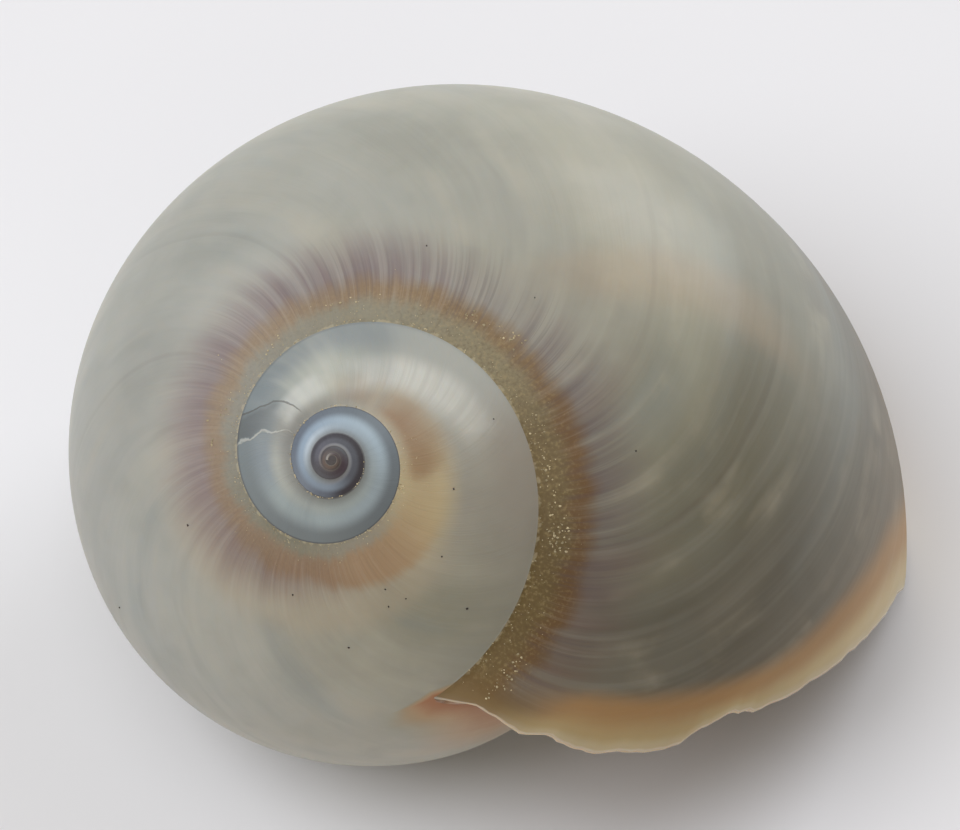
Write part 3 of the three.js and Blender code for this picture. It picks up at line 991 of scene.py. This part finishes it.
CAMERA_ELEVATION = math.radians(57.9)
CAMERA_ROLL = math.radians(-8.0)
CAMERA_DISTANCE = 191.7  # mm from the apex
CAMERA_AIM = (8.40, 2.51)  # mm to the right of the apex and above it
CAMERA_LENS = 127.5  # mm, for a sensor as wide as the next line says
CAMERA_SENSOR = 36
FLOOR_WIDTH = 6  # m
LIGHT_DISTANCE = 0.7  # m
SKY = (1.0, 0.925, 0.8, 1)
SKY_STRENGTH = 0.39
DAYLIGHT = (0.97, 1.0, 1.09)

# Lights: direction that each one comes from, its width in metres and its power in watts
LIGHTS = {
    "left softbox": ((-0.574, 0.0, 0.819), 0.62, 2.5),
    "back window": ((0.70, 0.60, 0.40), 0.42, 2.4),
    "overhead softbox": ((0.0, -0.087, 0.996), 0.35, 0.6),
}


def build_camera():
    toward = Vector((0, -math.cos(CAMERA_ELEVATION), math.sin(CAMERA_ELEVATION)))
    level = Vector((1, 0, 0))
    upright = toward.cross(level)
    right = math.cos(CAMERA_ROLL) * level + math.sin(CAMERA_ROLL) * upright
    up = toward.cross(right)
    aim = APEX + (right * CAMERA_AIM[0] + up * CAMERA_AIM[1]) * MM
    camera = bpy.data.objects.new("camera", bpy.data.cameras.new("camera"))
    bpy.context.scene.collection.objects.link(camera)
    camera.data.lens = CAMERA_LENS
    camera.data.sensor_width = CAMERA_SENSOR
    camera.data.clip_start = 0.01
    turn = Matrix((right, up, toward)).transposed()
    camera.matrix_world = Matrix.Translation(aim + toward * CAMERA_DISTANCE * MM) @ turn.to_4x4()
    bpy.context.scene.camera = camera


def add_light(name, direction, width, watts):
    light = bpy.data.objects.new(name, bpy.data.lights.new(name, "AREA"))
    bpy.context.scene.collection.objects.link(light)
    light.data.shape = "DISK"
    light.data.size = width
    light.data.energy = watts
    light.data.color = DAYLIGHT
    direction = Vector(direction).normalized()
    light.location = direction * LIGHT_DISTANCE
    light.rotation_euler = direction.to_track_quat("Z", "Y").to_euler()


def build_studio():
    bpy.ops.object.select_all(action="DESELECT")
    bpy.ops.mesh.primitive_plane_add(size=FLOOR_WIDTH)
    floor = bpy.context.object
    floor.name = "floor"
    floor.data.materials.append(floor_material())
    world = bpy.data.worlds.new("studio")
    bpy.context.scene.world = world
    world.use_nodes = True
    background = world.node_tree.nodes["Background"]
    background.inputs["Color"].default_value = SKY
    background.inputs["Strength"].default_value = SKY_STRENGTH
    for name, (direction, width, watts) in LIGHTS.items():
        add_light(name, direction, width, watts)
    bpy.context.scene.view_settings.view_transform = "Standard"


# ---------------------------------------------------------------- sand in the suture

# Where grains sit: centre (turn, arc angle), half-spread of both, and how many
SAND_CLUSTERS = (
    (-0.138, 0.312, 0.010, 0.018, 26),
    (-0.150, 0.332, 0.012, 0.016, 16),
    (-0.165, 0.305, 0.015, 0.016, 12),
    (-0.192, 0.296, 0.020, 0.014, 14),
    (-0.232, 0.305, 0.022, 0.022, 14),
    (-0.298, 0.360, 0.010, 0.018, 16),
    (-0.335, 0.345, 0.016, 0.014, 10),
    (-0.041, 0.335, 0.012, 0.020, 18),
    (-0.056, 0.336, 0.010, 0.014, 12),
    (-0.010, 0.300, 0.010, 0.018, 8),
    (-0.535, 0.303, 0.020, 0.012, 7),
    (-0.617, 0.325, 0.020, 0.012, 7),
    (-0.672, 0.348, 0.020, 0.010, 6),
    (-0.448, 0.325, 0.020, 0.012, 8),
    (-1.137, 0.290, 0.006, 0.012, 7),
)
CLUSTER_SCATTER = 0.6  # of the half-spread

# Grains that lie loose beside the suture and in its seam, over how many turns back
LOOSE_GRAINS = 330
LOOSE_TURNS = 1.25
LOOSE_CROWDING = 1.35  # above 1, they crowd towards the mouth
LOOSE_SPREAD = 0.022  # of arc angle
SEAM_GRAINS = 170
SEAM_TURNS = 2.2
SAND_LIMIT = 0.46  # arc angle that no grain goes past
BEHIND_LIP = 0.016  # turns that every grain stays back from the lip

# Least and greatest radius in mm
CLUSTER_SIZES = (0.03, 0.095)
LOOSE_SIZES = (0.018, 0.05)
SEAM_SIZES = (0.03, 0.065)
SPECK_SIZES = (0.06, 0.085)
STANDS_OUT = 0.25  # of its radius, by which a grain's middle is clear of the shell

# Dark specks stuck to the shell: turn and arc angle
SPECKS = (
    (-0.312, 0.466), (-0.392, 0.466), (-1.240, 0.655), (-0.204, 0.489), (-1.160, 0.455),
    (-1.080, 0.502), (-1.004, 0.455), (-1.020, 0.518), (-1.000, 0.511), (-1.060, 0.703),
    (-0.952, 0.613), (-0.892, 0.432), (-0.756, 0.477), (-0.776, 1.022),
)


def on_outside(t, u):
    """Points of the outside in the frame of the model, and its outward normals there."""
    step = 1e-3
    here = lay(stand(t, *section(whorl(t), u)))
    ahead = lay(stand(t + step, *section(whorl(t + step), u)))
    across = lay(stand(t, *section(whorl(t), u + step)))
    normal = np.cross(across - here, ahead - here)
    normal /= np.linalg.norm(normal, axis=-1, keepdims=True)
    return here, normal


def scatter_sand():
    """Turn and arc angle of every grain, and its radius in millimetres."""
    turns, arcs, sizes = [], [], []
    for turn, arc, turn_spread, arc_spread, count in SAND_CLUSTERS:
        turns.append(turn + turn_spread * rng.normal(0, CLUSTER_SCATTER, count))
        arcs.append(arc + arc_spread * rng.normal(0, CLUSTER_SCATTER, count))
        sizes.append(rng.uniform(*CLUSTER_SIZES, count))
    turns.append(-LOOSE_TURNS * rng.random(LOOSE_GRAINS) ** LOOSE_CROWDING - 0.004)
    arcs.append(TOP_START + 0.006 + rng.exponential(LOOSE_SPREAD, LOOSE_GRAINS))
    sizes.append(rng.uniform(*LOOSE_SIZES, LOOSE_GRAINS))
    turns.append(-SEAM_TURNS * rng.random(SEAM_GRAINS) - 0.003)
    arcs.append(TOP_START + rng.uniform(-0.001, 0.006, SEAM_GRAINS))
    sizes.append(rng.uniform(*SEAM_SIZES, SEAM_GRAINS))
    turn = np.concatenate(turns)
    arc = np.clip(np.concatenate(arcs), TOP_START, SAND_LIMIT)
    kept = turn < lag(arc) - BEHIND_LIP
    return turn[kept], arc[kept], np.concatenate(sizes)[kept]


def grain_material(name, colour, roughness):
    """Rough grains of one colour, some of them about half as light."""
    material, shader, n = new_material(name, Roughness=roughness)
    darker = (*(0.55 * v for v in colour[:3]), 1)
    shade = n.ramp(n.mottling(0.0004, 1.0), ((0.35, colour), (0.65, darker)))
    n.feed(shader.inputs["Base Color"], shade)
    return material


def build_sand():
    """Grains of sand caught beside the suture, and dark specks on the shell."""
    turn, arc, size = scatter_sand()
    speck_turn, speck_arc = np.array(SPECKS).T
    turn = np.concatenate((turn, speck_turn))
    arc = np.concatenate((arc, speck_arc))
    size = np.concatenate((size, rng.uniform(*SPECK_SIZES, len(SPECKS))))
    centre, normal = on_outside(turn, arc)
    bpy.ops.object.select_all(action="DESELECT")
    bpy.ops.mesh.primitive_ico_sphere_add(subdivisions=1, radius=1)
    grain = bpy.context.object
    corners = np.array([v.co for v in grain.data.vertices])
    faces = np.array([p.vertices for p in grain.data.polygons])
    count = len(turn)
    lumpy = corners[None] * rng.uniform(0.7, 1.25, (count, len(corners), 1))
    lumpy = lumpy * rng.uniform(0.65, 1.2, (count, 1, 3))
    middle = centre + normal * size[:, None] * MM * STANDS_OUT
    points = middle[:, None] + lumpy * size[:, None, None] * MM
    points[..., 2] = np.maximum(points[..., 2], 0)
    every_face = faces[None] + np.arange(count)[:, None, None] * len(corners)
    mesh = bpy.data.meshes.new("sand")
    mesh.from_pydata(points.reshape(-1, 3).tolist(), [], every_face.reshape(-1, 3).tolist())
    mesh.materials.append(grain_material("sand grains", tint(206, 190, 150), 0.6))
    mesh.materials.append(grain_material("dark specks", tint(58, 44, 38), 0.7))
    dark = np.repeat(np.arange(count) >= count - len(SPECKS), len(faces))
    mesh.polygons.foreach_set("material_index", dark.astype(int))
    grain.data = mesh
    grain.name = "sand"
    return grain


build_camera()
build_studio()
shell = build_shell()
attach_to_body(shell, "root")
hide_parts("shell")
sand = build_sand()
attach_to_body(sand, "root")
